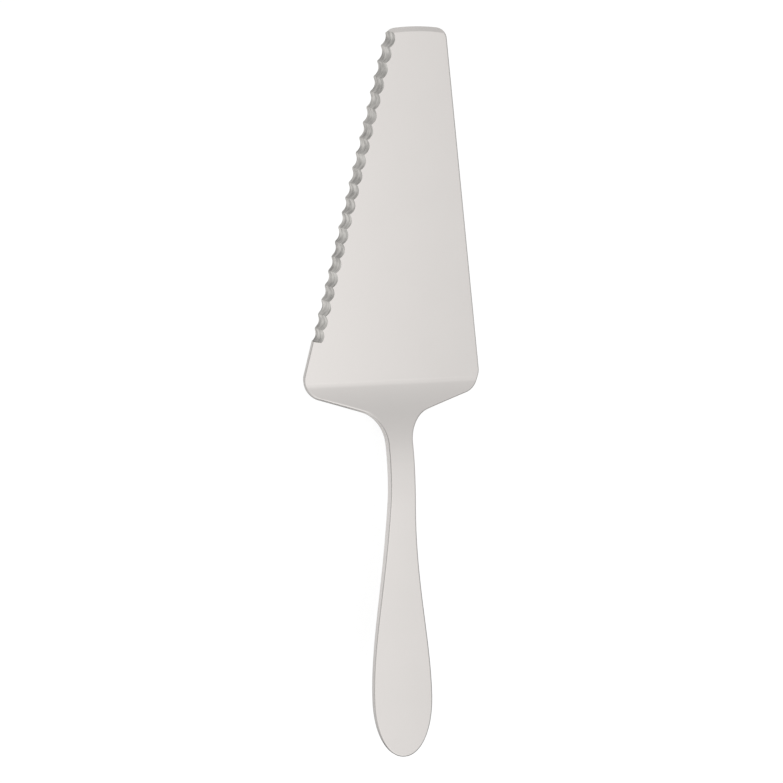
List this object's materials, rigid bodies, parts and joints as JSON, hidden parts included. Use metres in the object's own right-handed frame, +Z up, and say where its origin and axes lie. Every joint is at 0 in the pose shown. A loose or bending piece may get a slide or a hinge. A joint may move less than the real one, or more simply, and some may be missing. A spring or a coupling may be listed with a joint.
{
  "type": "cake server",
  "caption": "Stainless cake server with a flat tapering blade, a scalloped cutting edge along one side, a raised neck and a solid drop-shaped handle.",
  "frame": {"origin": "middle of the blade's flat underside, where the server rests on a table", "axes": "+Y from the handle to the blade's front edge, +Z up out of the blade's top face, +X to the plain long edge, so the toothed edge is on -X"},
  "size_m": [0.068, 0.2607, 0.041],
  "materials": {
    "blade_steel": "satin polished stainless steel, ground to a fine grain across the teeth",
    "handle_steel": "satin polished stainless steel",
    "weld_metal": "weld metal ground flush and polished over"
  },
  "bodies": {
    "root": {"blade": "blade_steel", "handle": "handle_steel", "weld_seam": "weld_metal"}
  },
  "joints": []
}
